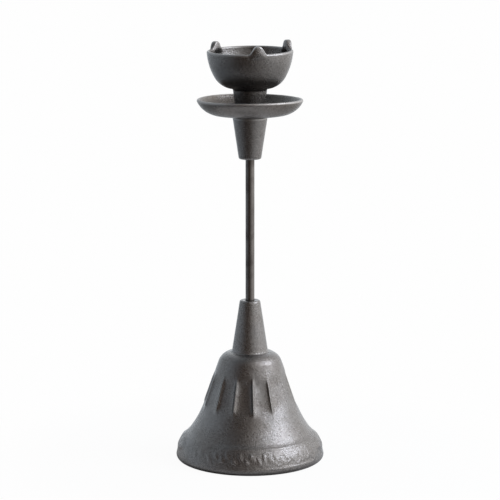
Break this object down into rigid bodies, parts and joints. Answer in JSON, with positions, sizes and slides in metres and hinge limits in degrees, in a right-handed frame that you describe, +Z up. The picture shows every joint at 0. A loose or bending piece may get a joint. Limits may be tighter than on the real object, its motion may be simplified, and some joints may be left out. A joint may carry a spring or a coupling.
{
  "type": "candle holder",
  "caption": "Tall cast-iron candle holder: a hollow fluted bell foot with a raised band, a slim steel rod, a tapered collar, a round drip pan and an open cup with small pointed prongs.",
  "frame": {"origin": "middle of the bell's mouth, on the surface that the holder stands on", "axes": "+Z up along the rod, -Y towards the front of the band's ornament, +X to the right as seen from the front"},
  "size_m": [0.1078, 0.1062, 0.2998],
  "materials": {
    "cast_iron_base": "sand-cast, waxed, semi-matt brown black",
    "cast_iron_pan": "sand-cast, waxed, semi-matt, a little lighter",
    "steel_rod": "drawn steel, darkened",
    "zinc_fastener": "zinc plated, dull"
  },
  "bodies": {
    "root": {"bell_base": "cast_iron_base", "base_washer": "zinc_fastener", "base_nut": "zinc_fastener", "stem_rod": "steel_rod", "stem_collar": "cast_iron_base", "drip_pan": "cast_iron_pan", "candle_cup": "cast_iron_base"}
  },
  "joints": []
}
